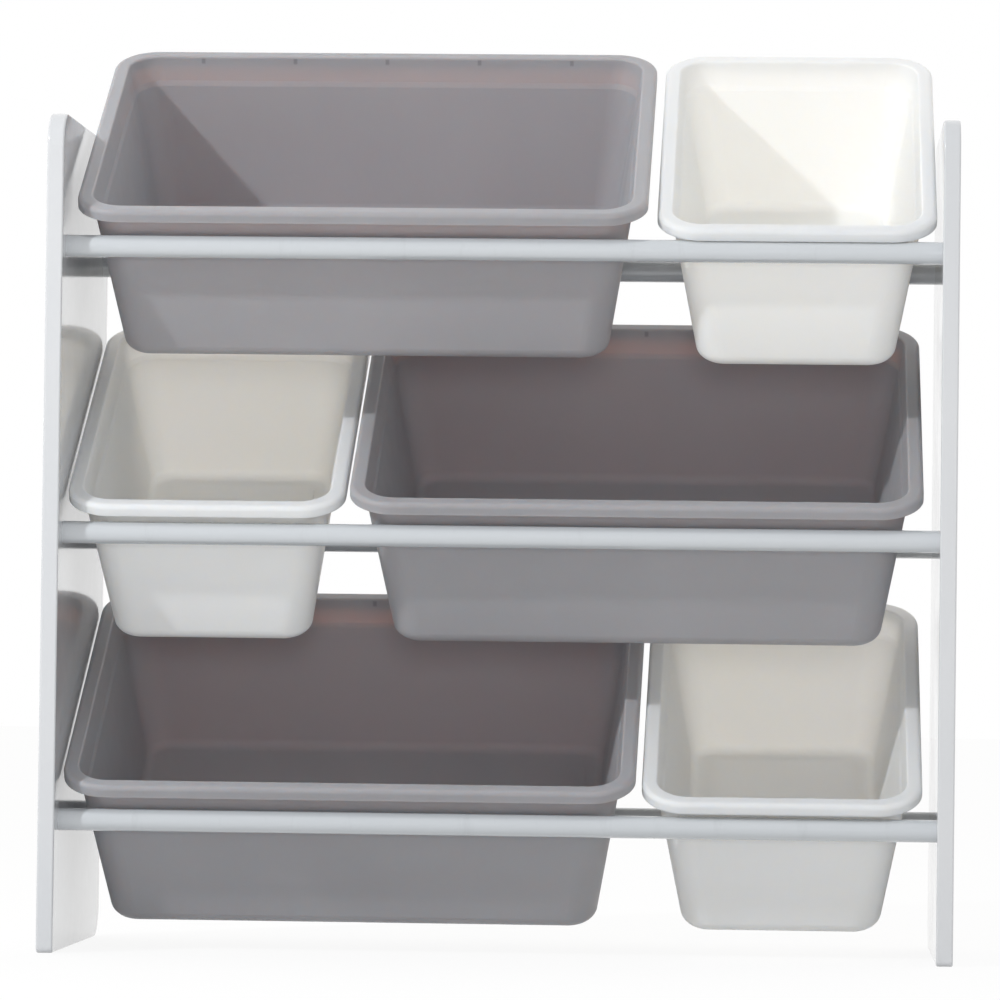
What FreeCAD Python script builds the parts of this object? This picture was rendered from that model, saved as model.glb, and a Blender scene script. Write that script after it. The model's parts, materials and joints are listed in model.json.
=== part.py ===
import FreeCAD, Part
import math
import os
import Sketcher

# Toy storage organizer: two side boards joined by six tubes, which carry three tiers of open bins.
# Each tier has a front and a rear tube at the same height.  A bin leans forward between them: the front
# tube lies against its front wall, under the turned-down rim, and the rear tube carries its floor.
# Lengths are in millimetres and angles in degrees.  X runs to the right along the tubes, Y to the rear
# and Z up from the ground.  The origin is on the ground, midway between the boards and midway between
# the boards' front edges and the rearmost bin; a setback is a distance behind the boards' front edges.

doc = FreeCAD.newDocument("ToyOrganizer")
sheet = doc.addObject("Spreadsheet::Sheet", "Sizes")

# ---------------------------------------------------------------------------------------------------
# Driving dimensions
# ---------------------------------------------------------------------------------------------------
DRIVING = {
    # rack
    "overall_width": 650,
    "board_thickness": 12,
    "board_height": 600,
    "board_depth": 265,
    "board_corner_radius": 25,
    "board_front_foot_radius": 4,
    "board_edge_round": 1.5,
    "tube_diameter": 16,
    "tube_wall": 1.2,
    "front_tube_setback": 26.5,
    "rear_tube_setback": 240.5,
    "bottom_tube_height": 94.5,
    "tier_pitch": 205.4,
    # joint of tube and board: a bolt from outside into a plug in the tube's end, under a cover cap
    "bolt_diameter": 6,
    "bolt_hole_clearance": 0.3,
    "bolt_head_diameter": 10.5,
    "bolt_head_height": 3.2,
    "bolt_engagement": 16,
    "plug_length": 20,
    "plug_clearance": 0.1,
    "counterbore_diameter": 13,
    "counterbore_depth": 5,
    "cap_clearance": 0.15,
    "cap_wall": 0.8,
    "cap_face_thickness": 1.2,
    "cap_edge_chamfer": 0.4,
    # bins
    "large_rim_width": 410.5,
    "small_rim_width": 200,
    "large_bin_depth": 123.5,
    "small_bin_depth": 119,
    "rim_length": 298,
    "rim_overhang": 9.2,
    "rim_drop": 8.6,
    "rim_thickness": 2.4,
    "rim_corner_radius": 32,
    "rim_outer_round": 3.6,
    "rim_inner_round": 1.6,
    "wall_thickness": 2.6,
    "side_draft": 9.4,
    "front_draft": 3,
    "rear_draft": 7,
    "wall_corner_radius": 25,
    "floor_corner_radius": 21,
    "bottom_round": 10,
    "shoulder_depth": 19,
    "shoulder_step": 0.9,
    "shoulder_ramp": 4,
    "panel_inset": 15,
    "panel_rise": 1.2,
    "panel_corner_radius": 10,
    "large_rib_pitch": 70,
    "small_rib_pitch": 45,
    "rib_thickness": 1.6,
    "rib_recess": 1.5,
    # seat of each bin: the depth under the rim at which the front tube's axis lies
    "bin_clearance": 0.3,
    "top_large_hook": 28.6,
    "top_small_hook": 17.7,
    "middle_small_hook": 22.9,
    "middle_large_hook": 26.9,
    "bottom_large_hook": 28.5,
    "bottom_small_hook": 21.1,
    # gaps from the left board to the left bin's rim, and from there to the right bin's rim
    "top_left_gap": 5.5,
    "top_middle_gap": 6.6,
    "middle_left_gap": 1.6,
    "middle_middle_gap": 2.9,
    "bottom_left_gap": 1.4,
    "bottom_middle_gap": 4.3,
}

# ---------------------------------------------------------------------------------------------------
# Sizes worked out from them
# ---------------------------------------------------------------------------------------------------
WORKED_OUT = {
    "inner_half_width": "overall_width / 2 - board_thickness",
    "tube_length": "2 * inner_half_width",
    "tube_radius": "tube_diameter / 2",
    "tube_span": "rear_tube_setback - front_tube_setback",
    "middle_tube_height": "bottom_tube_height + tier_pitch",
    "top_tube_height": "bottom_tube_height + 2 * tier_pitch",
    "seat_reach": "tube_radius + bin_clearance",
}

# tier, kind of the left bin, kind of the right bin
TIERS = [
    ("top", "large", "small"),
    ("middle", "small", "large"),
    ("bottom", "large", "small"),
]
# ribs under the rim on each side of the middle one
SIDE_RIBS = {"large": 2, "small": 1}
QUARTER_TURN = math.pi / 2


def seat_formulas(tier, left, right):
    """Cells that place a tier's two bins: centre line, lean, and the rim's front edge."""
    formulas = {}
    left_name = f"{tier}_{left}"
    right_name = f"{tier}_{right}"
    formulas[f"{left_name}_centre"] = f"-inner_half_width + {tier}_left_gap + {left}_rim_width / 2"
    formulas[f"{right_name}_centre"] = (
        f"{left_name}_centre + {left}_rim_width / 2 + {tier}_middle_gap + {right}_rim_width / 2"
    )
    for name, kind in ((left_name, left), (right_name, right)):
        # both tubes lie at one height, so the difference of their depths under the rim gives the lean
        formulas[f"{name}_lean"] = f"asin(({kind}_bin_depth + seat_reach - {name}_hook) / tube_span)"
        # the front tube's axis, measured along the rim from the rim's front edge
        formulas[f"{name}_reach"] = (
            f"rim_overhang + {name}_hook * tan(front_draft) - seat_reach / cos(front_draft)"
        )
        formulas[f"{name}_rim_setback"] = (
            f"front_tube_setback - {name}_reach * cos({name}_lean) - {name}_hook * sin({name}_lean)"
        )
        formulas[f"{name}_rim_height"] = (
            f"{tier}_tube_height - {name}_reach * sin({name}_lean) + {name}_hook * cos({name}_lean)"
        )
    return formulas


for tier_name, left_kind, right_kind in TIERS:
    WORKED_OUT.update(seat_formulas(tier_name, left_kind, right_kind))
# the top tier's small bin reaches furthest back, with the round along the rear of its floor
WORKED_OUT["small_floor_round_centre"] = (
    "rim_length - rim_overhang - small_bin_depth * tan(rear_draft)"
    " - bottom_round * tan((90 - rear_draft) / 2)"
)
WORKED_OUT["overall_depth"] = (
    "top_small_rim_setback + small_floor_round_centre * cos(top_small_lean)"
    " + (small_bin_depth - bottom_round) * sin(top_small_lean) + bottom_round"
)
WORKED_OUT["origin_setback"] = "overall_depth / 2"

for row, (alias, value) in enumerate(DRIVING.items(), start=1):
    sheet.set(f"A{row}", alias)
    sheet.set(f"B{row}", str(value))
    sheet.setAlias(f"B{row}", alias)
for row, (alias, formula) in enumerate(WORKED_OUT.items(), start=len(DRIVING) + 2):
    sheet.set(f"A{row}", alias)
    sheet.set(f"B{row}", "=" + formula)
    sheet.setAlias(f"B{row}", alias)
doc.recompute()


def cells(expression):
    """The expression with every alias written as a reference to the sheet."""
    words = []
    word = ""
    for letter in expression + " ":
        if letter.isalnum() or letter == "_":
            word += letter
            continue
        known = word in DRIVING or word in WORKED_OUT
        words.append(f"Sizes.{word}" if known else word)
        words.append(letter)
        word = ""
    return "".join(words).strip()


def number(expression):
    """The present value of an expression of aliases."""
    value = sheet.evalExpression(cells(expression))
    return float(getattr(value, "Value", value))


def bind(target, prop, expression):
    target.setExpression(prop, cells(expression))


# ---------------------------------------------------------------------------------------------------
# Sketches
# ---------------------------------------------------------------------------------------------------
def new_body(name):
    body = doc.addObject("PartDesign::Body", name)
    body.Label = name
    return body


def origin_feature(body, role):
    return next(item for item in body.Origin.OriginFeatures if item.Role == role)


def new_sketch(body, name, plane="XY_Plane", height=None):
    """A sketch on one of the body's own planes, raised along its normal by an expression."""
    sketch = body.newObject("Sketcher::SketchObject", name)
    sketch.AttachmentSupport = [(origin_feature(body, plane), "")]
    sketch.MapMode = "FlatFace"
    if height is not None:
        sketch.AttachmentOffset = FreeCAD.Placement(
            FreeCAD.Vector(0, 0, number(height)), FreeCAD.Rotation()
        )
        bind(sketch, "AttachmentOffset.Base.z", height)
    return sketch


def dimension(sketch, name, expression, constraint):
    """Adds a dimensional constraint and ties it to an expression of the sheet."""
    index = sketch.addConstraint(constraint)
    sketch.renameConstraint(index, name)
    bind(sketch, f"Constraints.{name}", expression)


def straight(x_start, y_start, x_end, y_end):
    return Part.LineSegment(FreeCAD.Vector(x_start, y_start, 0), FreeCAD.Vector(x_end, y_end, 0))


def quarter_arc(x, y, radius, start):
    """A quarter circle about a point, which starts at a number of quarter turns from the X axis."""
    circle = Part.Circle(FreeCAD.Vector(x, y, 0), FreeCAD.Vector(0, 0, 1), radius)
    return Part.ArcOfCircle(circle, start * QUARTER_TURN, (start + 1) * QUARTER_TURN)


def add_circle(sketch, name, radius, across=None, up=None):
    """A circle at the sketch's origin, or at the given distances across and up from it."""
    x = 0 if across is None else number(across)
    y = 0 if up is None else number(up)
    circle = sketch.addGeometry(
        Part.Circle(FreeCAD.Vector(x, y, 0), FreeCAD.Vector(0, 0, 1), number(radius))
    )
    dimension(sketch, f"{name}_radius", radius, Sketcher.Constraint("Radius", circle, number(radius)))
    if across is None:
        sketch.addConstraint(Sketcher.Constraint("PointOnObject", circle, 3, -2))
    else:
        dimension(sketch, f"{name}_across", across, Sketcher.Constraint("DistanceX", -1, 1, circle, 3, x))
    if up is None:
        sketch.addConstraint(Sketcher.Constraint("PointOnObject", circle, 3, -1))
    else:
        dimension(sketch, f"{name}_up", up, Sketcher.Constraint("DistanceY", -1, 1, circle, 3, y))


def add_rounded_rectangle(sketch, name, half_width, front, rear, radius):
    """A rectangle with round corners, symmetric about the sketch's Y axis, from front to rear along it."""
    a, f, b, r = (number(value) for value in (half_width, front, rear, radius))
    pieces = [
        straight(-a + r, f, a - r, f),
        quarter_arc(a - r, f + r, r, 3),
        straight(a, f + r, a, b - r),
        quarter_arc(a - r, b - r, r, 0),
        straight(a - r, b, -a + r, b),
        quarter_arc(-a + r, b - r, r, 1),
        straight(-a, b - r, -a, f + r),
        quarter_arc(-a + r, f + r, r, 2),
    ]
    first = sketch.GeometryCount
    sketch.addGeometry(pieces, False)
    line_front, line_right, line_rear, line_left = (first + step for step in (0, 2, 4, 6))
    for step in range(8):
        here = first + step
        after = first + (step + 1) % 8
        sketch.addConstraint(Sketcher.Constraint("Tangent", here, 2, after, 1))
    sketch.addConstraint(Sketcher.Constraint("Horizontal", line_rear))
    sketch.addConstraint(Sketcher.Constraint("Vertical", line_right))
    sketch.addConstraint(Sketcher.Constraint("Vertical", line_left))
    for step in (3, 5, 7):
        sketch.addConstraint(Sketcher.Constraint("Equal", first + 1, first + step))
    sketch.addConstraint(Sketcher.Constraint("Symmetric", line_front, 1, line_front, 2, -2))
    dimension(sketch, f"{name}_radius", radius, Sketcher.Constraint("Radius", first + 1, r))
    dimension(
        sketch, f"{name}_half_width", half_width,
        Sketcher.Constraint("DistanceX", -1, 1, line_right, 1, a),
    )
    if front == "0":
        sketch.addConstraint(Sketcher.Constraint("PointOnObject", line_front, 1, -1))
    else:
        dimension(
            sketch, f"{name}_front", front, Sketcher.Constraint("DistanceY", -1, 1, line_front, 1, f)
        )
    dimension(sketch, f"{name}_rear", rear, Sketcher.Constraint("DistanceY", -1, 1, line_rear, 1, b))


def add_rectangle(sketch, name, half_width, front, rear):
    """A plain rectangle, symmetric about the sketch's Y axis, from front to rear along it."""
    a, f, b = (number(value) for value in (half_width, front, rear))
    corners = [FreeCAD.Vector(x, y, 0) for x, y in ((-a, f), (a, f), (a, b), (-a, b))]
    first = sketch.GeometryCount
    for step in range(4):
        sketch.addGeometry(Part.LineSegment(corners[step], corners[(step + 1) % 4]), False)
    for step in range(4):
        sketch.addConstraint(Sketcher.Constraint("Coincident", first + step, 2, first + (step + 1) % 4, 1))
    sketch.addConstraint(Sketcher.Constraint("Vertical", first + 1))
    sketch.addConstraint(Sketcher.Constraint("Horizontal", first + 2))
    sketch.addConstraint(Sketcher.Constraint("Vertical", first + 3))
    sketch.addConstraint(Sketcher.Constraint("Symmetric", first, 1, first, 2, -2))
    dimension(
        sketch, f"{name}_half_width", half_width, Sketcher.Constraint("DistanceX", -1, 1, first, 2, a)
    )
    dimension(sketch, f"{name}_front", front, Sketcher.Constraint("DistanceY", -1, 1, first, 1, f))
    dimension(sketch, f"{name}_rear", rear, Sketcher.Constraint("DistanceY", -1, 1, first + 2, 1, b))


def add_profile(sketch, points):
    """A closed profile of straight sides; each point is a pair of expressions, measured from the origin."""
    values = [(number(x), number(y)) for x, y in points]
    count = len(points)
    for step in range(count):
        start = FreeCAD.Vector(*values[step], 0)
        end = FreeCAD.Vector(*values[(step + 1) % count], 0)
        sketch.addGeometry(Part.LineSegment(start, end), False)
    for step in range(count):
        sketch.addConstraint(Sketcher.Constraint("Coincident", step, 2, (step + 1) % count, 1))
    for step, (across, up) in enumerate(points):
        x, y = values[step]
        if across == "0":
            sketch.addConstraint(Sketcher.Constraint("PointOnObject", step, 1, -2))
        else:
            dimension(
                sketch, f"across_{step}", across, Sketcher.Constraint("DistanceX", -1, 1, step, 1, x)
            )
        if up == "0":
            sketch.addConstraint(Sketcher.Constraint("PointOnObject", step, 1, -1))
        else:
            dimension(sketch, f"up_{step}", up, Sketcher.Constraint("DistanceY", -1, 1, step, 1, y))


# ---------------------------------------------------------------------------------------------------
# Features
# ---------------------------------------------------------------------------------------------------
def add_feature(body, kind, name, profile):
    feature = body.newObject(f"PartDesign::{kind}", name)
    feature.Profile = profile
    feature.Refine = False
    profile.Visibility = False
    return feature


def add_pad(body, name, sketch, length, backwards=False):
    pad = add_feature(body, "Pad", name, sketch)
    bind(pad, "Length", length)
    pad.Reversed = backwards
    return pad


def add_pocket(body, name, sketch, length, forwards=False):
    """A pocket cuts against the sketch's normal, or along it when forwards is set."""
    pocket = add_feature(body, "Pocket", name, sketch)
    bind(pocket, "Length", length)
    pocket.Reversed = forwards
    return pocket


def add_loft(body, kind, name, sections):
    """A ruled loft through sections given from the top down."""
    loft = add_feature(body, kind, name, sections[0])
    loft.Sections = sections[1:]
    loft.Ruled = True
    return loft


def add_revolution(body, name, sketch):
    turn = add_feature(body, "Revolution", name, sketch)
    turn.ReferenceAxis = (sketch, ["H_Axis"])
    turn.Angle = 360
    return turn


def flat_face(shape, height, upwards):
    """The largest level face of a shape at a height that looks up or down."""
    found = []
    for face in shape.Faces:
        box = face.BoundBox
        if abs(box.ZMin - height) < 0.01 and abs(box.ZMax - height) < 0.01:
            if (face.normalAt(0, 0).z > 0) == upwards:
                found.append(face)
    return max(found, key=lambda face: face.OuterWire.BoundBox.DiagonalLength)


def rim_edges(height, upwards):
    """Picks the outer edges of the level face at a height."""
    return lambda shape: flat_face(shape, height, upwards).OuterWire.Edges


def mouth_edges(height, upwards):
    """Picks the inner edges of the level face at a height."""
    def choose(shape):
        face = flat_face(shape, height, upwards)
        return [edge for wire in face.Wires if not wire.isSame(face.OuterWire) for edge in wire.Edges]
    return choose


def outline_edges(shape):
    """Picks the edges that run round a board's two faces."""
    return [edge for edge in shape.Edges if edge.BoundBox.XLength < 0.01]


def edge_names(shape, edges):
    names = []
    for index, edge in enumerate(shape.Edges, start=1):
        if any(edge.isSame(other) for other in edges):
            names.append(f"Edge{index}")
    return names


def round_edges(body, name, choose, radius):
    """A fillet on the edges that choose picks from the body's present shape."""
    base = body.Tip
    shape = base.Shape
    names = edge_names(shape, choose(shape))
    fillet = body.newObject("PartDesign::Fillet", name)
    fillet.Base = (base, names)
    bind(fillet, "Radius", radius)
    doc.recompute()
    return fillet


def check_change(body, before, grows, what):
    """Stops the build where a feature didn't add or remove material as it should."""
    change = body.Shape.Volume - before
    if (change > 0) != grows or abs(change) < 0.01:
        raise RuntimeError(f"{body.Label}: {what} changed the volume by {change:.3f}")


# ---------------------------------------------------------------------------------------------------
# Rack
# ---------------------------------------------------------------------------------------------------
def board_outline(sketch):
    """Side view of a board: round corners at the top and at the rear foot, a small one at the front foot."""
    depth = number("board_depth")
    height = number("board_height")
    large = number("board_corner_radius")
    small = number("board_front_foot_radius")
    pieces = [
        quarter_arc(small, small, small, 2),
        quarter_arc(depth - large, large, large, 3),
        quarter_arc(depth - large, height - large, large, 0),
        quarter_arc(large, height - large, large, 1),
        straight(small, 0, depth - large, 0),
        straight(depth, large, depth, height - large),
        straight(depth - large, height, large, height),
        straight(0, height - large, 0, small),
    ]
    sketch.addGeometry(pieces, False)
    for corner in range(4):
        line = 4 + corner
        following = (corner + 1) % 4
        sketch.addConstraint(Sketcher.Constraint("Tangent", corner, 2, line, 1))
        sketch.addConstraint(Sketcher.Constraint("Tangent", line, 2, following, 1))
    for line in (4, 6):
        sketch.addConstraint(Sketcher.Constraint("Horizontal", line))
        sketch.addConstraint(Sketcher.Constraint("Vertical", line + 1))
    sketch.addConstraint(Sketcher.Constraint("PointOnObject", 4, 1, -1))
    sketch.addConstraint(Sketcher.Constraint("PointOnObject", 7, 1, -2))
    sketch.addConstraint(Sketcher.Constraint("Equal", 1, 2))
    sketch.addConstraint(Sketcher.Constraint("Equal", 2, 3))
    dimension(
        sketch, "foot_radius", "board_front_foot_radius", Sketcher.Constraint("Radius", 0, small)
    )
    dimension(sketch, "corner_radius", "board_corner_radius", Sketcher.Constraint("Radius", 1, large))
    dimension(
        sketch, "depth", "board_depth", Sketcher.Constraint("DistanceX", -1, 1, 5, 1, depth)
    )
    dimension(sketch, "height", "board_height", Sketcher.Constraint("DistanceY", -1, 1, 6, 1, height))


def add_holes(body, name, radius, depth, forwards):
    """Holes for the lowest front and rear tube, cut from the board's outer face."""
    sketch = new_sketch(body, f"{body.Name}_{name}_outline", "YZ_Plane")
    add_circle(sketch, "front", radius, "front_tube_setback", "bottom_tube_height")
    add_circle(sketch, "rear", radius, "rear_tube_setback", "bottom_tube_height")
    before = body.Shape.Volume
    pocket = add_pocket(body, f"{body.Name}_{name}", sketch, depth, forwards)
    doc.recompute()
    check_change(body, before, False, name)
    return pocket


def make_board(name, is_left):
    """A board with its outer face in its own X = 0 plane and its thickness towards the tubes."""
    body = new_body(name)
    outline = new_sketch(body, f"{name}_outline", "YZ_Plane")
    board_outline(outline)
    add_pad(body, f"{name}_slab", outline, "board_thickness", backwards=not is_left)
    doc.recompute()
    round_edges(body, f"{name}_eased_edges", outline_edges, "board_edge_round")
    bolt_radius = "bolt_diameter / 2 + bolt_hole_clearance"
    holes = add_holes(body, "bolt_holes", bolt_radius, "board_thickness", is_left)
    recesses = add_holes(body, "recesses", "counterbore_diameter / 2", "counterbore_depth", is_left)
    before = body.Shape.Volume
    tiers = body.newObject("PartDesign::LinearPattern", f"{name}_tiers")
    tiers.Originals = [holes, recesses]
    tiers.Direction = (origin_feature(body, "Z_Axis"), [""])
    bind(tiers, "Length", "2 * tier_pitch")
    tiers.Occurrences = 3
    body.Tip = tiers
    doc.recompute()
    check_change(body, before, False, "tiers of holes")
    side = "-1" if is_left else "1"
    bind(body, "Placement.Base.x", f"{side} * overall_width / 2")
    bind(body, "Placement.Base.y", "-origin_setback")
    return body


def make_tube(name, setback, height):
    """A round tube along X, butted against both boards."""
    body = new_body(name)
    ring = new_sketch(body, f"{name}_section", "YZ_Plane")
    add_circle(ring, "outside", "tube_radius")
    add_circle(ring, "inside", "tube_radius - tube_wall")
    add_pad(body, f"{name}_wall", ring, "tube_length")
    bind(body, "Placement.Base.x", "-inner_half_width")
    bind(body, "Placement.Base.y", f"{setback} - origin_setback")
    bind(body, "Placement.Base.z", height)
    return body


def make_fastener_group(name, is_left, profile):
    """Six equal turned pieces on the tubes' axes, measured from the board's outer face inwards."""
    body = new_body(name)
    sketch = new_sketch(body, f"{name}_profile", "XY_Plane")
    inward = "1" if is_left else "-1"
    add_profile(sketch, [(x if x == "0" else f"{inward} * ({x})", radius) for x, radius in profile])
    turned = add_revolution(body, f"{name}_turned", sketch)
    tiers = body.newObject("PartDesign::MultiTransform", f"{name}_stations")
    rows = body.newObject("PartDesign::LinearPattern", f"{name}_rows")
    rows.Direction = (origin_feature(body, "Z_Axis"), [""])
    bind(rows, "Length", "2 * tier_pitch")
    rows.Occurrences = 3
    pairs = body.newObject("PartDesign::LinearPattern", f"{name}_pairs")
    pairs.Direction = (origin_feature(body, "Y_Axis"), [""])
    bind(pairs, "Length", "tube_span")
    pairs.Occurrences = 2
    tiers.Originals = [turned]
    tiers.Transformations = [rows, pairs]
    body.Tip = tiers
    side = "-1" if is_left else "1"
    bind(body, "Placement.Base.x", f"{side} * overall_width / 2")
    bind(body, "Placement.Base.y", "front_tube_setback - origin_setback")
    bind(body, "Placement.Base.z", "bottom_tube_height")
    return body


# turned profiles as (distance inwards from the board's outer face, radius)
HEAD_TOP = "counterbore_depth - bolt_head_height"
BOLT_END = "board_thickness + bolt_engagement"
BOLT_PROFILE = [
    (HEAD_TOP, "0"),
    (HEAD_TOP, "bolt_head_diameter / 4"),
    (f"{HEAD_TOP} + bolt_head_height / 2", "bolt_head_diameter / 2"),
    ("counterbore_depth", "bolt_head_diameter / 2"),
    ("counterbore_depth", "bolt_diameter / 2"),
    (BOLT_END, "bolt_diameter / 2"),
    (BOLT_END, "0"),
]
PLUG_OUTSIDE = "tube_radius - tube_wall - plug_clearance"
PLUG_BORE = "bolt_diameter / 2 + plug_clearance"
PLUG_END = "board_thickness + plug_length"
PLUG_PROFILE = [
    ("board_thickness", PLUG_BORE),
    ("board_thickness", PLUG_OUTSIDE),
    (PLUG_END, PLUG_OUTSIDE),
    (PLUG_END, PLUG_BORE),
]
CAP_OUTSIDE = "counterbore_diameter / 2 - cap_clearance"
CAP_PROFILE = [
    ("0", "0"),
    ("0", f"{CAP_OUTSIDE} - cap_edge_chamfer"),
    ("cap_edge_chamfer", CAP_OUTSIDE),
    ("counterbore_depth", CAP_OUTSIDE),
    ("counterbore_depth", f"{CAP_OUTSIDE} - cap_wall"),
    ("cap_face_thickness", f"{CAP_OUTSIDE} - cap_wall"),
    ("cap_face_thickness", "0"),
]


# ---------------------------------------------------------------------------------------------------
# Bins
# ---------------------------------------------------------------------------------------------------
def wall_outline(sketch, name, kind, below, inset, radius):
    """A bin wall's outline at a depth below the rim, drawn in by an inset from the outer face."""
    add_rounded_rectangle(
        sketch, name,
        f"{kind}_rim_width / 2 - rim_overhang - ({below}) * tan(side_draft) - ({inset})",
        f"rim_overhang + ({below}) * tan(front_draft) + ({inset})",
        f"rim_length - rim_overhang - ({below}) * tan(rear_draft) - ({inset})",
        radius,
    )


def wall_section(body, name, kind, below, inset, radius):
    sketch = new_sketch(body, f"{body.Name}_{name}", height=f"-({below})")
    wall_outline(sketch, "wall", kind, below, inset, radius)
    return sketch


def add_walls(body, kind):
    """The drafted outer form and the band round its mouth, both still solid."""
    name = body.Name
    foot = wall_section(body, "foot", kind, f"{kind}_bin_depth", "0", "floor_corner_radius")
    mouth = wall_section(body, "mouth", kind, "0", "0", "wall_corner_radius")
    add_loft(body, "AdditiveLoft", f"{name}_outer_form", [mouth, foot])
    doc.recompute()
    band = new_sketch(body, f"{name}_rim_outline")
    add_rounded_rectangle(
        band, "rim", f"{kind}_rim_width / 2", "0", "rim_length", "rim_corner_radius"
    )
    before = body.Shape.Volume
    add_pad(body, f"{name}_rim_band", band, "rim_drop", backwards=True)
    doc.recompute()
    check_change(body, before, True, "rim band")


def hollow_out(body, kind):
    """The cavity, in two parts: the upper one is wider by a step, which a ramp leads back to the wall."""
    name = body.Name
    depth = f"{kind}_bin_depth"
    floor_top = f"({depth} - wall_thickness)"
    floor_radius = "floor_corner_radius - wall_thickness"
    mouth_radius = "wall_corner_radius - wall_thickness"
    floor = wall_section(body, "floor", kind, floor_top, "wall_thickness", floor_radius)
    shoulder = wall_section(body, "shoulder", kind, "shoulder_depth", "wall_thickness", mouth_radius)
    before = body.Shape.Volume
    add_loft(body, "SubtractiveLoft", f"{name}_cavity", [shoulder, floor])
    doc.recompute()
    check_change(body, before, False, "cavity")

    # the inner edge is rounded first, so that the larger outer round keeps the wall's thickness
    inner_floor = rim_edges(-number(floor_top), upwards=True)
    round_edges(body, f"{name}_inner_bottom_round", inner_floor, "bottom_round - wall_thickness")
    underside = rim_edges(-number(depth), upwards=False)
    round_edges(body, f"{name}_outer_bottom_round", underside, "bottom_round")

    upper_wall = "wall_thickness - shoulder_step"
    ramp_foot = "shoulder_depth + shoulder_ramp"
    opening = wall_section(body, "opening", kind, "0", upper_wall, mouth_radius)
    wide = wall_section(body, "ramp_head", kind, "shoulder_depth", upper_wall, mouth_radius)
    flush = wall_section(body, "ramp_foot", kind, ramp_foot, "wall_thickness", mouth_radius)
    before = body.Shape.Volume
    add_loft(body, "SubtractiveLoft", f"{name}_upper_cavity", [opening, wide, flush])
    doc.recompute()
    check_change(body, before, False, "upper cavity")


def add_floor_panel(body, kind):
    """A panel raised inside and hollow by as much outside, so that the bin stands on its floor's edge."""
    name = body.Name
    depth = f"{kind}_bin_depth"
    limits = (
        f"{kind}_rim_width / 2 - rim_overhang - {depth} * tan(side_draft) - panel_inset",
        f"rim_overhang + {depth} * tan(front_draft) + panel_inset",
        f"rim_length - rim_overhang - {depth} * tan(rear_draft) - panel_inset",
        "panel_corner_radius",
    )
    top = new_sketch(body, f"{name}_panel_top", height=f"-({depth} - wall_thickness)")
    add_rounded_rectangle(top, "panel", *limits)
    before = body.Shape.Volume
    add_pad(body, f"{name}_panel_raised", top, "panel_rise")
    doc.recompute()
    check_change(body, before, True, "floor panel")
    under = new_sketch(body, f"{name}_panel_under", height=f"-{depth}")
    add_rounded_rectangle(under, "panel", *limits)
    before = body.Shape.Volume
    add_pocket(body, f"{name}_panel_hollow", under, "panel_rise", forwards=True)
    doc.recompute()
    check_change(body, before, False, "hollow under the floor panel")


def finish_rim(body, kind):
    """Rolled edges, and the channel between the rim's turned-down edge and the wall."""
    name = body.Name
    round_edges(body, f"{name}_rim_outer_round", rim_edges(0, upwards=True), "rim_outer_round")
    round_edges(body, f"{name}_rim_inner_round", mouth_edges(0, upwards=True), "rim_inner_round")
    channel = new_sketch(body, f"{name}_channel_outline", height="-rim_drop")
    add_rounded_rectangle(
        channel, "outer", f"{kind}_rim_width / 2 - rim_thickness", "rim_thickness",
        "rim_length - rim_thickness", "rim_corner_radius - rim_thickness",
    )
    wall_outline(channel, "inner", kind, "0", "0", "wall_corner_radius")
    before = body.Shape.Volume
    add_pocket(body, f"{name}_channel", channel, "rim_drop - rim_thickness", forwards=True)
    doc.recompute()
    check_change(body, before, False, "rim channel")


def add_ribs(body, kind):
    """Ribs across the channel at the front and at the rear, in a row on both sides of the middle one."""
    name = body.Name
    outline = new_sketch(body, f"{name}_rib_outline", height="-rim_thickness")
    add_rectangle(
        outline, "front", "rib_thickness / 2", "rim_thickness / 2", "rim_overhang + wall_thickness / 2"
    )
    add_rectangle(
        outline, "rear", "rib_thickness / 2",
        "rim_length - rim_overhang - wall_thickness / 2", "rim_length - rim_thickness / 2",
    )
    before = body.Shape.Volume
    middle = add_pad(
        body, f"{name}_rib", outline, "rim_drop - rim_thickness - rib_recess", backwards=True
    )
    doc.recompute()
    check_change(body, before, True, "rib")

    before = body.Shape.Volume
    ribs = body.newObject("PartDesign::MultiTransform", f"{name}_ribs")
    row = body.newObject("PartDesign::LinearPattern", f"{name}_rib_row")
    row.Direction = (origin_feature(body, "X_Axis"), [""])
    bind(row, "Length", f"{SIDE_RIBS[kind]} * {kind}_rib_pitch")
    row.Occurrences = SIDE_RIBS[kind] + 1
    mirror = body.newObject("PartDesign::Mirrored", f"{name}_rib_mirror")
    mirror.MirrorPlane = (origin_feature(body, "YZ_Plane"), [""])
    ribs.Originals = [middle]
    ribs.Transformations = [row, mirror]
    body.Tip = ribs
    doc.recompute()
    check_change(body, before, True, "row of ribs")


def seat_bin(body, seat):
    """Leans the bin forward and sets it against its two tubes."""
    setback = f"{seat}_rim_setback - origin_setback"
    body.Placement = FreeCAD.Placement(
        FreeCAD.Vector(number(f"{seat}_centre"), number(setback), number(f"{seat}_rim_height")),
        FreeCAD.Rotation(FreeCAD.Vector(1, 0, 0), number(f"{seat}_lean")),
    )
    bind(body, "Placement.Base.x", f"{seat}_centre")
    bind(body, "Placement.Base.y", setback)
    bind(body, "Placement.Base.z", f"{seat}_rim_height")
    bind(body, "Placement.Rotation.Angle", f"{seat}_lean")


def make_bin(tier, kind):
    """A moulded bin: drafted walls, a rim that turns down, an inner shoulder and a raised floor panel.

    Its own frame has the rim's front edge on the X axis, Y along the rim to the rear and Z out of the
    open top, so that depths below the rim are negative Z.
    """
    colour = "grey" if kind == "large" else "white"
    body = new_body(f"{tier}_{kind}_{colour}_bin")
    add_walls(body, kind)
    hollow_out(body, kind)
    add_floor_panel(body, kind)
    finish_rim(body, kind)
    add_ribs(body, kind)
    seat_bin(body, f"{tier}_{kind}")
    return body


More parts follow.
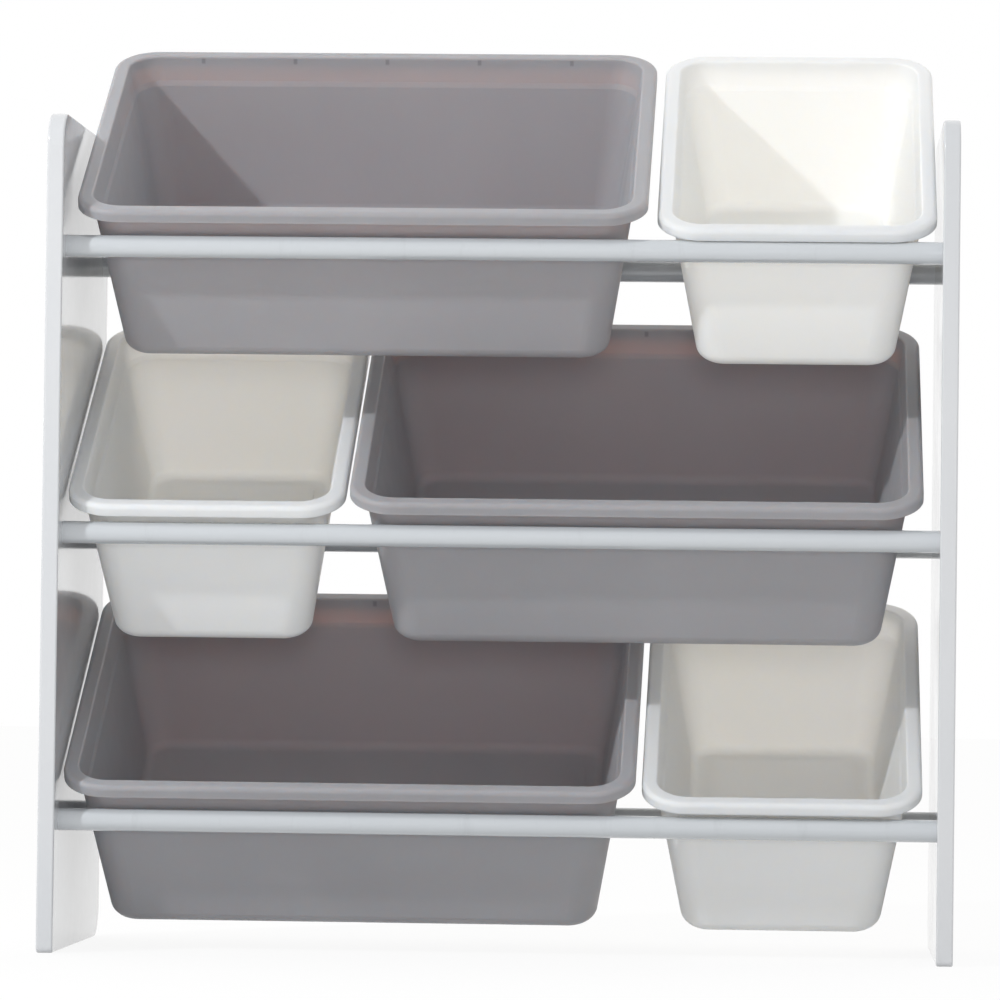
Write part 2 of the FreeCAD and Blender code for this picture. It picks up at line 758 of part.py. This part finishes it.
# ---------------------------------------------------------------------------------------------------
# Assembly
# ---------------------------------------------------------------------------------------------------
pieces = [
    make_board("left_side_board", True),
    make_board("right_side_board", False),
]
for tier_name, _, _ in TIERS:
    pieces.append(make_tube(f"{tier_name}_front_tube", "front_tube_setback", f"{tier_name}_tube_height"))
    pieces.append(make_tube(f"{tier_name}_rear_tube", "rear_tube_setback", f"{tier_name}_tube_height"))
for side, on_left in (("left", True), ("right", False)):
    pieces.append(make_fastener_group(f"{side}_bolts", on_left, BOLT_PROFILE))
    pieces.append(make_fastener_group(f"{side}_tube_plugs", on_left, PLUG_PROFILE))
    pieces.append(make_fastener_group(f"{side}_cover_caps", on_left, CAP_PROFILE))
for tier_name, left_kind, right_kind in TIERS:
    pieces.append(make_bin(tier_name, left_kind))
    pieces.append(make_bin(tier_name, right_kind))
doc.recompute()

# ---------------------------------------------------------------------------------------------------
# Checks and export
# ---------------------------------------------------------------------------------------------------
failed = [item.Name for item in doc.Objects if "Invalid" in item.State or "Error" in item.State]
if failed:
    raise RuntimeError(f"failed objects: {failed}")
for piece in pieces:
    if piece.Shape.isNull() or not piece.Shape.isValid() or not piece.Shape.Solids:
        raise RuntimeError(f"{piece.Label} has no valid solid")

os.makedirs("parts", exist_ok=True)
for piece in pieces:
    piece.Shape.exportStep(f"parts/{piece.Label}.step")
    print(f"{piece.Label}: {len(piece.Shape.Solids)} solid(s), {piece.Shape.Volume / 1000:.1f} cm3")
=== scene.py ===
import json
import math

import bpy
from mathutils import Matrix, Vector

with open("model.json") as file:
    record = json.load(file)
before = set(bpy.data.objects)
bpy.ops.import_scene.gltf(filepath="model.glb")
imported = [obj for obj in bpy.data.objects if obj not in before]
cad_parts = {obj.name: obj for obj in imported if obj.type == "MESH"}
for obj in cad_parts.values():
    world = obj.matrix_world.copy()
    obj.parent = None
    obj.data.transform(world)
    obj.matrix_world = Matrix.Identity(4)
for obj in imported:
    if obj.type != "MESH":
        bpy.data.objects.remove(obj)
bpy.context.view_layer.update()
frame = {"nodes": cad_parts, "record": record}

nodes = frame["nodes"]

# ---------------------------------------------------------------------------------------------------
# Camera: place, direction and focal length fitted to the photograph, in metres and degrees
# ---------------------------------------------------------------------------------------------------
CAMERA_PLACE = Vector((0.21349, -4.12008, 0.21324))
YAW_TO_LEFT = math.radians(3.06)
PITCH_UP = math.radians(1.62)
ROLL = math.radians(0.72)
SENSOR_WIDTH_MM = 36
FOCAL_LENGTH_MM = 201.75
NEAREST_SEEN = 0.05
FARTHEST_SEEN = 60

forward = Vector((
    -math.sin(YAW_TO_LEFT) * math.cos(PITCH_UP),
    math.cos(YAW_TO_LEFT) * math.cos(PITCH_UP),
    math.sin(PITCH_UP),
))
level_right = forward.cross(Vector((0, 0, 1))).normalized()
level_up = level_right.cross(forward)
right = level_right * math.cos(ROLL) + level_up * math.sin(ROLL)
up = -level_right * math.sin(ROLL) + level_up * math.cos(ROLL)

camera_data = bpy.data.cameras.new("camera")
camera_data.sensor_fit = "HORIZONTAL"
camera_data.sensor_width = SENSOR_WIDTH_MM
camera_data.lens = FOCAL_LENGTH_MM
camera_data.clip_start = NEAREST_SEEN
camera_data.clip_end = FARTHEST_SEEN
camera = bpy.data.objects.new("camera", camera_data)
camera.matrix_world = Matrix((
    (right.x, up.x, -forward.x, CAMERA_PLACE.x),
    (right.y, up.y, -forward.y, CAMERA_PLACE.y),
    (right.z, up.z, -forward.z, CAMERA_PLACE.z),
    (0, 0, 0, 1),
))
bpy.context.scene.collection.objects.link(camera)
bpy.context.scene.camera = camera
bpy.context.scene.view_settings.view_transform = "Standard"


# ---------------------------------------------------------------------------------------------------
# Tools for materials
# ---------------------------------------------------------------------------------------------------
def rgba(red, green, blue):
    """A display colour of 0 to 255 as scene-linear values."""
    def linear(value):
        value /= 255
        return value / 12.92 if value <= 0.04045 else ((value + 0.055) / 1.055) ** 2.4
    return (linear(red), linear(green), linear(blue), 1)


def seen_or_mirrored(tree):
    """1 for what the camera sees, straight, mirrored or through clear matter; 0 for other light."""
    paths = tree.nodes.new("ShaderNodeLightPath")
    seen = paths.outputs["Is Camera Ray"]
    for ray in ("Is Glossy Ray", "Is Transmission Ray"):
        either = tree.nodes.new("ShaderNodeMath")
        either.operation = "MAXIMUM"
        tree.links.new(seen, either.inputs[0])
        tree.links.new(paths.outputs[ray], either.inputs[1])
        seen = either.outputs["Value"]
    return seen


class Surface:
    """A material under construction: a Principled shader with noise in colour, roughness and bump.

    Coordinates are the object's own, in metres, so that scales are waves per metre.
    """

    def __init__(self, name, **fixed):
        self.material = bpy.data.materials.new(name)
        self.material.use_nodes = True
        self.tree = self.material.node_tree
        self.shader = self.tree.nodes["Principled BSDF"]
        for socket, value in fixed.items():
            self.shader.inputs[socket.replace("_", " ")].default_value = value
        self.place = self.tree.nodes.new("ShaderNodeTexCoord").outputs["Object"]

    def node(self, kind, **inputs):
        made = self.tree.nodes.new(kind)
        for socket, value in inputs.items():
            self.feed(made.inputs[socket.replace("_", " ")], value)
        return made

    def feed(self, socket, value):
        """Gives a socket a number or colour, or links it to another node's output."""
        if isinstance(value, bpy.types.NodeSocket):
            self.tree.links.new(value, socket)
        else:
            socket.default_value = value

    def set(self, socket, value):
        self.feed(self.shader.inputs[socket], value)

    def noise(self, scale, detail=3, roughness=0.55, stretch=None):
        where = self.place
        if stretch is not None:
            where = self.node("ShaderNodeMapping", Vector=where, Scale=stretch).outputs["Vector"]
        made = self.node(
            "ShaderNodeTexNoise", Vector=where, Scale=scale, Detail=detail, Roughness=roughness
        )
        return made.outputs["Fac"]

    def spread(self, value, low, high, to_low, to_high):
        """Maps a value from one range to another, clamped."""
        made = self.node("ShaderNodeMapRange", Value=value)
        ends = (("From Min", low), ("From Max", high), ("To Min", to_low), ("To Max", to_high))
        for socket, number in ends:
            made.inputs[socket].default_value = number
        return made.outputs["Result"]

    def math(self, operation, first, second):
        made = self.tree.nodes.new("ShaderNodeMath")
        made.operation = operation
        self.feed(made.inputs[0], first)
        self.feed(made.inputs[1], second)
        return made.outputs["Value"]

    def blend(self, amount, first, second):
        made = self.tree.nodes.new("ShaderNodeMix")
        made.data_type = "RGBA"
        colours = [socket for socket in made.inputs if socket.type == "RGBA"]
        self.feed(made.inputs[0], amount)
        self.feed(colours[0], first)
        self.feed(colours[1], second)
        return next(socket for socket in made.outputs if socket.type == "RGBA")

    def clouded(self, noise, first, second):
        """Two close colours, mixed in the soft clouds of a noise."""
        return self.blend(self.spread(noise, 0.3, 0.7, 0, 1), first, second)

    def bump(self, height, distance, strength=1.0, under=None):
        made = self.node("ShaderNodeBump", Height=height, Distance=distance, Strength=strength)
        if under is not None:
            self.feed(made.inputs["Normal"], under)
        return made.outputs["Normal"]


# ---------------------------------------------------------------------------------------------------
# Plastic of the bins
# ---------------------------------------------------------------------------------------------------
# glow: how far red, green and blue light travel inside the plastic, in metres
WHITE_PLASTIC = {
    "colour": rgba(252, 250, 245),
    "darker": rgba(250, 248, 242),
    "paler": rgba(253, 252, 248),
    "roughness": 0.42,
    "glow": (0.0060, 0.0055, 0.0049),
}
GREY_PLASTIC = {
    "colour": rgba(172, 172, 176),
    "darker": rgba(168, 168, 172),
    "paler": rgba(179, 179, 183),
    "roughness": 0.44,
    "glow": (0.0050, 0.0034, 0.0027),
}
# painted shade: the colour of the dark marks where the ribs behind the rear rim show through the wall
RIB_SHADOW = rgba(96, 92, 92)
RIB_PITCH = 0.070
# each large bin's seat: the rim's front middle in metres, and the lean in degrees
LARGE_BIN_SEATS = {
    "top_large_grey_bin": (-0.10225, -0.144184, 0.529203, 28.832),
    "middle_large_grey_bin": (0.09675, -0.143489, 0.322220, 29.353),
    "bottom_large_grey_bin": (-0.10635, -0.144144, 0.118310, 28.863),
}


def painted_rib_shade(surface, seat):
    """Painted shade on the inside of the rear wall, where the ribs behind the rear rim show through
    the thin plastic.
    """
    centre, setback, height, lean = seat
    local = surface.node("ShaderNodeMapping", Vector=surface.place)
    local.vector_type = "TEXTURE"
    local.inputs["Location"].default_value = (centre, setback, height)
    local.inputs["Rotation"].default_value = (math.radians(lean), 0, 0)
    axes = surface.node("ShaderNodeSeparateXYZ", Vector=local.outputs["Vector"]).outputs
    from_rib = surface.math("PINGPONG", axes["X"], RIB_PITCH / 2)
    marks = surface.spread(from_rib, 0.0009, 0.0019, 0.4, 0)
    below_rim = surface.spread(axes["Z"], -0.0065, -0.0050, 0, 1)
    under_edge = surface.spread(axes["Z"], -0.0022, -0.0012, 1, 0)
    behind = surface.spread(axes["Y"], 0.26, 0.27, 0, 1)
    inside = surface.spread(axes["Y"], 0.2872, 0.2876, 1, 0)
    for limit in (below_rim, under_edge, behind, inside):
        marks = surface.math("MULTIPLY", marks, limit)
    return marks


def moulded_plastic(name, colour, darker, paler, roughness, glow, seat=None):
    """Moulded polypropylene: thin enough to glow, with a fine sparked grain, flow marks and scuffs.

    A bin's seat adds small dark marks of painted shade, where the ribs behind the rear rim show
    through.
    """
    surface = Surface(name, Specular_IOR_Level=0.4, IOR=1.49, Subsurface_Weight=1.0)
    surface.shader.subsurface_method = "RANDOM_WALK"
    surface.set("Subsurface Radius", glow)
    surface.set("Subsurface Scale", 1.0)
    body = surface.clouded(surface.noise(7, detail=4, stretch=(1, 0.5, 0.5)), darker, colour)
    scuffs = surface.noise(90, detail=6, roughness=0.7, stretch=(0.12, 1, 0.3))
    scuff_amount = surface.spread(scuffs, 0.62, 0.78, 0, 0.16)
    shade = surface.blend(scuff_amount, body, paler)
    if seat is not None:
        # painted shade where the ribs show through the rear wall
        shade = surface.blend(painted_rib_shade(surface, seat), shade, RIB_SHADOW)
    surface.set("Base Color", shade)
    worn = surface.noise(24, detail=5)
    uneven = surface.spread(worn, 0.35, 0.65, roughness - 0.05, roughness + 0.06)
    scuffed = surface.math("MULTIPLY", scuff_amount, 0.12)
    surface.set("Roughness", surface.math("ADD", uneven, scuffed))
    waves = surface.bump(surface.noise(16, detail=2), 0.0006, 0.35)
    surface.set("Normal", surface.bump(surface.noise(1500, detail=2), 0.00005, under=waves))
    return surface.material


# ---------------------------------------------------------------------------------------------------
# Paint, powder coat, steel and small mouldings
# ---------------------------------------------------------------------------------------------------
FOOT_HEIGHT = 0.05


def painted_board():
    """Fibreboard under glossy white paint: a fine orange peel, slow waves, and marks near the foot."""
    surface = Surface(
        "painted_board", Specular_IOR_Level=0.5, Coat_Weight=0.6, Coat_Roughness=0.06
    )
    paint = surface.clouded(surface.noise(5, detail=3), rgba(210, 212, 215), rgba(217, 218, 220))
    height = surface.node("ShaderNodeSeparateXYZ", Vector=surface.place).outputs["Z"]
    near_foot = surface.spread(height, 0.0, FOOT_HEIGHT, 1, 0)
    specks = surface.spread(surface.noise(160, detail=5, roughness=0.7), 0.6, 0.74, 0, 1)
    marks = surface.math("MULTIPLY", surface.math("MULTIPLY", specks, near_foot), 0.35)
    surface.set("Base Color", surface.blend(marks, paint, rgba(196, 194, 190)))
    surface.set("Roughness", surface.spread(surface.noise(30, detail=5), 0.3, 0.7, 0.1, 0.16))
    waves = surface.bump(surface.noise(12, detail=2), 0.0003, 0.2)
    surface.set("Normal", surface.bump(surface.noise(420, detail=3), 0.00002, under=waves))
    return surface.material


def coated_tube():
    """Steel tube with a glossy white powder coat: slightly pebbled, with faint rub marks round it."""
    surface = Surface(
        "coated_tube", Specular_IOR_Level=0.5, Coat_Weight=0.8, Coat_Roughness=0.12
    )
    rubbing = surface.noise(60, detail=5, roughness=0.7, stretch=(1, 0.2, 0.2))
    rubs = surface.spread(rubbing, 0.58, 0.75, 0, 0.6)
    surface.set("Base Color", surface.blend(rubs, rgba(203, 207, 211), rgba(192, 196, 200)))
    surface.set("Roughness", surface.spread(surface.noise(45, detail=4), 0.3, 0.7, 0.14, 0.24))
    surface.set("Normal", surface.bump(surface.noise(650, detail=3), 0.00003))
    return surface.material


def plated_steel():
    """Zinc-plated bolts: bright, with a fine turned grain."""
    surface = Surface("plated_steel", Metallic=1.0)
    tone = surface.noise(120, detail=4)
    surface.set("Base Color", surface.clouded(tone, rgba(178, 180, 182), rgba(202, 203, 204)))
    turned = surface.noise(900, detail=2, stretch=(1, 0.1, 0.1))
    surface.set("Roughness", surface.spread(turned, 0.3, 0.7, 0.25, 0.4))
    grooves = surface.noise(1800, detail=2, stretch=(1, 0.1, 0.1))
    surface.set("Normal", surface.bump(grooves, 0.00002))
    return surface.material


def small_moulding(name, colour, paler):
    """Small glossy mouldings: the plugs in the tubes and the caps over the bolts."""
    surface = Surface(name, Specular_IOR_Level=0.5)
    surface.set("Base Color", surface.clouded(surface.noise(40, detail=3), colour, paler))
    surface.set("Roughness", surface.spread(surface.noise(80, detail=4), 0.3, 0.7, 0.28, 0.42))
    surface.set("Normal", surface.bump(surface.noise(1200, detail=2), 0.00002))
    return surface.material


FINISHES = {
    "painted_board": painted_board(),
    "coated_tube": coated_tube(),
    "bolt_steel": plated_steel(),
    "plug_plastic": small_moulding("plug_plastic", rgba(214, 213, 208), rgba(224, 223, 219)),
    "cap_plastic": small_moulding("cap_plastic", rgba(220, 221, 223), rgba(226, 226, 228)),
    "white_bin_plastic": moulded_plastic("white_bin_plastic", **WHITE_PLASTIC),
}
GREY_BINS = {
    node: moulded_plastic(f"grey_bin_plastic_{node.split('_')[0]}", **GREY_PLASTIC, seat=seat)
    for node, seat in LARGE_BIN_SEATS.items()
}
for part in frame["record"]["subparts"]:
    slots = nodes[part["node"]].data.materials
    slots.clear()
    slots.append(GREY_BINS.get(part["node"]) or FINISHES[part["material_slot"]])

# ---------------------------------------------------------------------------------------------------
# Floor, background and light
# ---------------------------------------------------------------------------------------------------
WHITE = (1, 1, 1, 1)
FLOOR_HALF_WIDTH = 12
FLOOR_WHITENESS = 0.90
# the light that the world throws on the part: dimmer from the front, brighter and warmer from behind
TO_THE_BACK = (0.12, 0.98, 0.1)
FRONT_STRENGTH = 0.50
BACK_STRENGTH = 1.36
FRONT_TINT = (0.965, 0.982, 1.0, 1)
BACK_TINT = (1.0, 0.965, 0.92, 1)


def make_floor():
    """White where it is seen, but for the part's shadow; greyer to the light that it throws back."""
    half = FLOOR_HALF_WIDTH
    corners = [(-half, -half, 0), (half, -half, 0), (half, half, 0), (-half, half, 0)]
    mesh = bpy.data.meshes.new("studio_floor")
    mesh.from_pydata(corners, [], [(0, 1, 2, 3)])
    floor = bpy.data.objects.new("studio_floor", mesh)
    bpy.context.scene.collection.objects.link(floor)
    surface = Surface("studio_floor", Roughness=0.9, Specular_IOR_Level=0.1)
    tone = surface.noise(2, detail=2)
    cast = surface.clouded(tone, rgba(220, 220, 220), rgba(226, 226, 225))
    shown = surface.clouded(tone, rgba(251, 251, 250), rgba(252, 252, 252))
    seen = seen_or_mirrored(surface.tree)
    surface.set("Base Color", surface.blend(seen, cast, shown))
    white = surface.node("ShaderNodeEmission", Color=WHITE, Strength=1.0)
    faded = surface.tree.nodes.new("ShaderNodeMixShader")
    surface.feed(faded.inputs["Fac"], surface.math("MULTIPLY", seen, FLOOR_WHITENESS))
    surface.feed(faded.inputs[1], surface.shader.outputs["BSDF"])
    surface.feed(faded.inputs[2], white.outputs["Emission"])
    output = surface.tree.nodes["Material Output"]
    surface.feed(output.inputs["Surface"], faded.outputs["Shader"])
    mesh.materials.append(surface.material)


def make_world():
    """White where the camera or a mirror sees it; a graded light on everything else."""
    world = bpy.data.worlds.new("studio")
    bpy.context.scene.world = world
    world.use_nodes = True
    tree = world.node_tree
    link = tree.links.new
    direction = tree.nodes.new("ShaderNodeVectorMath")
    direction.operation = "DOT_PRODUCT"
    direction.inputs[1].default_value = TO_THE_BACK
    link(tree.nodes.new("ShaderNodeTexCoord").outputs["Generated"], direction.inputs[0])
    level = tree.nodes.new("ShaderNodeMapRange")
    level.inputs["From Min"].default_value = -0.1
    level.inputs["From Max"].default_value = 0.6
    level.inputs["To Min"].default_value = FRONT_STRENGTH
    level.inputs["To Max"].default_value = BACK_STRENGTH
    tint = tree.nodes.new("ShaderNodeValToRGB")
    front, back = tint.color_ramp.elements
    front.position, front.color = 0.0, FRONT_TINT
    back.position, back.color = 0.8, BACK_TINT
    light = tree.nodes["Background"]
    link(direction.outputs["Value"], level.inputs["Value"])
    link(direction.outputs["Value"], tint.inputs["Fac"])
    link(tint.outputs["Color"], light.inputs["Color"])
    link(level.outputs["Result"], light.inputs["Strength"])
    shown = tree.nodes.new("ShaderNodeBackground")
    shown.inputs["Color"].default_value = WHITE
    shown.inputs["Strength"].default_value = 1
    choice = tree.nodes.new("ShaderNodeMixShader")
    link(seen_or_mirrored(tree), choice.inputs["Fac"])
    link(light.outputs["Background"], choice.inputs[1])
    link(shown.outputs["Background"], choice.inputs[2])
    link(choice.outputs["Shader"], tree.nodes["World Output"].inputs["Surface"])


def make_softbox(name, place, aim, size, power, colour, mirrored=True):
    """A round lamp of a size in metres and a power in watts, turned to the aim."""
    data = bpy.data.lights.new(name, "AREA")
    data.shape = "DISK"
    data.size = size
    data.energy = power
    data.color = colour
    lamp = bpy.data.objects.new(name, data)
    lamp.location = place
    lamp.rotation_euler = (Vector(aim) - Vector(place)).to_track_quat("-Z", "Y").to_euler()
    lamp.visible_glossy = mirrored
    bpy.context.scene.collection.objects.link(lamp)


make_floor()
make_world()
# from the upper left front, in the direction that the shadows in the bins give
make_softbox(
    "key_light", place=(-1.95, -1.85, 1.82), aim=(0, -0.05, 0.35),
    size=0.12, power=38, colour=(0.97, 0.985, 1.0),
)
# wide and close to the line of sight, so that it reaches what is seen between the bins
make_softbox(
    "front_fill", place=(0.25, -4.6, 0.48), aim=(0, 0, 0.3),
    size=0.9, power=33, colour=(1.0, 0.99, 0.98), mirrored=False,
)

# ---------------------------------------------------------------------------------------------------
# The end
# ---------------------------------------------------------------------------------------------------
bpy.context.view_layer.update()
